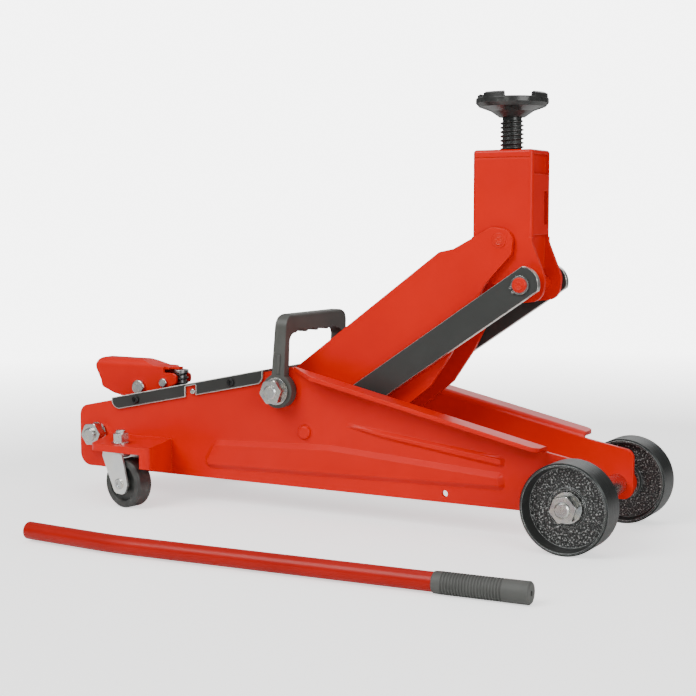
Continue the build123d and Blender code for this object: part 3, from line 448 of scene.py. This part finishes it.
def finishPiece(piece, name, finish, node, replaced=()):
    # the piece takes its body from the CAD node it belongs to
    if piece.mode != "OBJECT":
        bpy.ops.object.mode_set(mode="OBJECT")
    bpy.ops.object.transform_apply(location=True, rotation=True, scale=True)
    bpy.ops.object.mode_set(mode="EDIT")
    bpy.ops.mesh.select_all(action="SELECT")
    bpy.ops.mesh.normals_make_consistent(inside=False)
    bpy.ops.object.mode_set(mode="OBJECT")
    bpy.ops.object.shade_smooth_by_angle(angle=math.radians(32))
    piece.name = name
    piece.data.materials.clear()
    piece.data.materials.append(finish)
    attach(piece, bodyOf[node])
    if replaced:
        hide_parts(*replaced)
    return piece


saddleThread = {"pitch": 4.0, "core": 9.0, "crest": 11.0, "turns": 17, "start": 2.2, "crestWidth": 0.9,
                "rootWidth": 3.0, "footBevel": 1.4, "sunk": 0.4}  # lengths in millimetres


def makeSaddleThread():
    # one real helix round a plain core, in place of the plain grooves
    low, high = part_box("saddle_screw")
    axisX = (low.x + high.x) / 2
    look = saddleThread
    deselectAll()
    bpy.ops.mesh.primitive_cylinder_add(vertices=56, radius=look["core"] * mm, depth=high.z - low.z,
                                        location=(0, 0, (low.z + high.z) / 2))
    core = bpy.context.object
    bpy.ops.object.transform_apply(location=True)
    pickEdges(core, lambda co: co.z < low.z + 0.0001)
    bpy.ops.mesh.bevel(offset=look["footBevel"] * mm, segments=2)
    bpy.ops.object.mode_set(mode="OBJECT")

    deselectAll()
    middle = (look["core"] + look["crest"] - look["sunk"]) / 2 * mm
    bpy.ops.mesh.primitive_plane_add(size=1, location=(middle, 0, low.z + look["start"] * mm),
                                     rotation=(math.pi / 2, 0, 0))
    ridge = bpy.context.object
    ridge.scale = ((look["crest"] - look["core"] + look["sunk"]) * mm, look["rootWidth"] * mm, 1)
    bpy.ops.object.transform_apply(location=True, rotation=True, scale=True)
    pickEdges(ridge, lambda co: co.x > middle)
    bpy.ops.transform.resize(value=(1, 1, look["crestWidth"] / look["rootWidth"]),
                             center_override=(middle, 0, low.z + look["start"] * mm))
    bpy.ops.mesh.select_all(action="SELECT")
    bpy.ops.mesh.delete(type="ONLY_FACE")
    bpy.ops.object.mode_set(mode="OBJECT")
    helix = ridge.modifiers.new("helix", "SCREW")
    helix.axis = "Z"
    helix.steps = helix.render_steps = 36
    helix.screw_offset = look["pitch"] * mm
    helix.iterations = look["turns"]
    helix.use_merge_vertices = False
    bpy.ops.object.modifier_apply(modifier="helix")
    bpy.ops.object.mode_set(mode="EDIT")
    bpy.ops.mesh.select_all(action="SELECT")
    bpy.ops.mesh.fill_holes(sides=4)
    bpy.ops.object.mode_set(mode="OBJECT")

    core.select_set(True)
    bpy.context.view_layer.objects.active = core
    bpy.ops.object.join()
    bpy.ops.transform.translate(value=(axisX, 0, 0))
    finishPiece(core, "saddle_screw_thread", saddleIron, "saddle_screw", ["saddle_screw"])


carryRib = {"width": 4.2, "length": 20.0, "proud": 1.3, "height": 149.5, "round": 0.55, "lean": 3.3,
            "bossRadius": 17.0, "legFace": 61.5, "taper": 2.0, "taperFoot": 105.0, "taperHeight": 94.0}


def makeCarryRibs():
    # stiffening rib moulded down the outer face of each leg
    look = carryRib
    low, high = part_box("carry_handle")
    bossHeight = low.z + look["bossRadius"] * mm
    legX = (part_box("carry_nuts")[0].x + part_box("carry_nuts")[1].x) / 2
    slope = math.radians(look["lean"])
    for side, name in ((-1, "right"), (1, "left")):
        deselectAll()
        height = look["height"] * mm
        x = legX + math.tan(slope) * (height - bossHeight)
        up = (look["height"] - look["taperFoot"]) / look["taperHeight"]
        outer = (look["legFace"] - look["taper"] * up) * mm  # the leg narrows upwards
        bpy.ops.mesh.primitive_cube_add(size=1, location=(x, side * outer, height), rotation=(0, slope, 0))
        rib = bpy.context.object
        rib.scale = (look["width"] * mm, 2 * look["proud"] * mm, look["length"] * mm)
        bpy.ops.object.transform_apply(location=True, rotation=True, scale=True)
        pickEdges(rib, lambda co: abs(co.y) > outer)
        bpy.ops.mesh.bevel(offset=look["round"] * mm, segments=3)
        finishPiece(rib, "carry_handle_rib_" + name, handlePlastic, "carry_handle")


peenedEnd = {"radius": 4.6, "proud": 0.5, "rim": 0.7, "slope": 0.5, "depth": 0.3, "petals": 6, "ring": 2.3,
             "petal": 1.0, "petalSunk": 0.3, "petalFlatness": 0.5}


def makePeenedEnds():
    # the ends of the red pins are closed by a ring of punch marks round a low centre
    look = peenedEnd
    for node in ("tower_pin", "link_pin"):
        low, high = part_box(node)
        x, z = (low.x + high.x) / 2, (low.z + high.z) / 2
        for side, name in ((-1, "right"), (1, "left")):
            deselectAll()
            reach = high.y * side
            bpy.ops.mesh.primitive_cylinder_add(vertices=40, radius=look["radius"] * mm,
                                                depth=2 * look["proud"] * mm,
                                                location=(x, reach, z), rotation=(math.pi / 2, 0, 0))
            disc = bpy.context.object
            bpy.ops.object.transform_apply(location=True, rotation=True)
            bpy.ops.object.mode_set(mode="EDIT")
            bpy.ops.mesh.select_mode(type="FACE")
            bpy.ops.mesh.select_all(action="DESELECT")
            bpy.ops.object.mode_set(mode="OBJECT")
            for face in disc.data.polygons:
                face.select = face.normal.y * side > 0.9
            bpy.ops.object.mode_set(mode="EDIT")
            bpy.ops.mesh.inset(thickness=look["rim"] * mm, depth=0)
            bpy.ops.mesh.inset(thickness=look["slope"] * mm, depth=-look["depth"] * mm)
            bpy.ops.object.mode_set(mode="OBJECT")
            for petal in range(look["petals"]):
                turn = 2 * math.pi * petal / look["petals"]
                spot = (x + look["ring"] * mm * math.cos(turn),
                        reach + side * (look["proud"] - look["petalSunk"]) * mm,
                        z + look["ring"] * mm * math.sin(turn))
                bpy.ops.object.select_all(action="DESELECT")
                bpy.ops.mesh.primitive_ico_sphere_add(subdivisions=2, radius=look["petal"] * mm, location=spot)
                mark = bpy.context.object
                mark.scale = (1, look["petalFlatness"], 1)
                disc.select_set(True)
                bpy.context.view_layer.objects.active = disc
                bpy.ops.object.join()
            finishPiece(disc, node + "_peened_end_" + name, frameEnamel, node)


pumpSpring = {"wire": 0.95, "coils": 8, "steps": 28, "keep": 0.41}


def makePumpSpring():
    # coil wound from round wire
    look = pumpSpring
    low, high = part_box("pump_spring")
    x = (low.x + high.x) / 2
    radius = (high.x - low.x) / 2 - look["wire"] * mm
    rise = high.z - low.z - 2 * look["wire"] * mm
    deselectAll()
    bpy.ops.mesh.primitive_circle_add(vertices=14, radius=look["wire"] * mm, fill_type="NOTHING",
                                      location=(radius, 0, low.z + look["wire"] * mm),
                                      rotation=(math.pi / 2, 0, 0))
    coil = bpy.context.object
    bpy.ops.object.transform_apply(location=True, rotation=True)
    wind = coil.modifiers.new("wind", "SCREW")
    wind.axis = "Z"
    wind.steps = wind.render_steps = look["steps"]
    wind.screw_offset = rise / look["coils"]
    wind.iterations = look["coils"]
    bpy.ops.object.modifier_apply(modifier="wind")
    bpy.ops.object.mode_set(mode="EDIT")
    bpy.ops.mesh.select_all(action="SELECT")
    bpy.ops.mesh.fill_holes(sides=20)
    bpy.ops.object.mode_set(mode="OBJECT")
    bpy.ops.transform.translate(value=(x, 0, 0))
    finishPiece(coil, "pump_spring_coil", springSteel, "pump_spring", ["pump_spring"])
    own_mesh(coil)


makeSaddleThread()
makeCarryRibs()
makePeenedEnds()
makePumpSpring()
print("saddle thread, carry ribs, peened ends and pump spring modelled")


studio = {"floor": "#F4F4F3", "floorHalf": 6.0, "world": "#FFFFFF", "worldStrength": 0.34,
          "horizonStrength": 0.12,
          "behindStrength": 6.0, "floorGlow": 1.1, "fadeFrom": 0.75, "fadeTo": 1.9}

studioLamps = [  # name, place, aimed at, size in metres, watts
    ("key", (-0.9, -1.7, 1.7), (-0.25, 0, 0.15), 1.4, 52),
    ("fill", (1.6, -1.1, 0.9), (-0.2, 0, 0.15), 1.2, 28),
    ("top", (-0.2, 0.3, 2.1), (-0.25, 0, 0.1), 1.8, 12),
    ("back", (-0.6, 1.9, 1.2), (-0.25, 0, 0.2), 1.4, 12),
]


def makeStudio():
    bpy.ops.object.select_all(action="DESELECT")
    bpy.ops.mesh.primitive_plane_add(size=2 * studio["floorHalf"], location=(0, 0, -0.0002))
    floor = bpy.context.object
    floor.name = "studio_floor"
    material, tree = newMaterial("pale_studio_floor")
    coord = addNode(tree, "ShaderNodeTexCoord")
    cloud = addNode(tree, "ShaderNodeTexNoise", {"in": {"Scale": 0.7, "Detail": 2.0}},
                    {"Vector": coord.outputs["Object"]})
    tone = addNode(tree, "ShaderNodeValToRGB",
                   {"stops": [(0.2, linear("#F1F1F0")), (0.8, linear(studio["floor"]))]},
                   {"Fac": cloud.outputs["Fac"]})
    far = addNode(tree, "ShaderNodeVectorMath", {"operation": "LENGTH"}, {0: coord.outputs["Object"]})
    fade = addNode(tree, "ShaderNodeMapRange",
                   {"in": {"From Min": studio["fadeFrom"], "From Max": studio["fadeTo"]}},
                   {"Value": far.outputs["Value"]})
    seen = addNode(tree, "ShaderNodeLightPath")  # the paper looks lit from below, but throws no extra light
    glow = addNode(tree, "ShaderNodeMath", {"operation": "MULTIPLY", "in": {1: studio["floorGlow"]}},
                   {0: seen.outputs["Is Camera Ray"]})
    paper = addNode(tree, "ShaderNodeBsdfPrincipled",
                    {"in": {"Roughness": 0.7, "Emission Color": linear("#FFFFFF")}},
                    {"Base Color": tone.outputs[0], "Emission Strength": glow.outputs[0]})
    clear = addNode(tree, "ShaderNodeBsdfTransparent")
    both = addNode(tree, "ShaderNodeMixShader", {},
                   {0: fade.outputs[0], 1: paper.outputs[0], 2: clear.outputs[0]})
    addNode(tree, "ShaderNodeOutputMaterial", {}, {0: both.outputs[0]})
    floor.data.materials.append(material)

    world = bpy.data.worlds.new("studio_world")
    world.use_nodes = True
    sky = world.node_tree.nodes["Background"]
    sky.inputs[0].default_value = linear(studio["world"])
    ray = addNode(world.node_tree, "ShaderNodeLightPath")  # the tent shows bright, yet lights gently
    way = addNode(world.node_tree, "ShaderNodeTexCoord")
    up = addNode(world.node_tree, "ShaderNodeSeparateXYZ", links={"Vector": way.outputs["Generated"]})
    dome = addNode(world.node_tree, "ShaderNodeMapRange", {"in": {
        "From Min": 0.02, "From Max": 0.5, "To Min": studio["horizonStrength"], "To Max": studio["worldStrength"]}},
        {"Value": up.outputs["Z"]})
    behind = addNode(world.node_tree, "ShaderNodeMapRange", {"in": {"To Max": studio["behindStrength"]}},
                     {"Value": ray.outputs["Is Camera Ray"], "To Min": dome.outputs[0]})
    world.node_tree.links.new(behind.outputs[0], sky.inputs[1])
    bpy.context.scene.world = world

    for name, place, target, size, power in studioLamps:
        bpy.ops.object.light_add(type="AREA", location=place)
        lamp = bpy.context.object
        lamp.name = "studio_" + name
        lamp.data.size = size
        lamp.data.energy = power
        lamp.rotation_euler = (Vector(target) - Vector(place)).to_track_quat("-Z", "Y").to_euler()


camera = {"place": (0.44675, -1.26379, 0.29242), "azimuth": 29.48, "elevation": 5.09, "lens": 74.84}


def makeCamera():
    a, e = math.radians(camera["azimuth"]), math.radians(camera["elevation"])
    back = Vector((math.sin(a) * math.cos(e), -math.cos(a) * math.cos(e), math.sin(e)))
    bpy.ops.object.camera_add(location=camera["place"], rotation=back.to_track_quat("Z", "Y").to_euler())
    made = bpy.context.object
    made.data.sensor_width = 36
    made.data.lens = camera["lens"]
    bpy.context.scene.camera = made


makeStudio()
makeCamera()
print("studio ready")
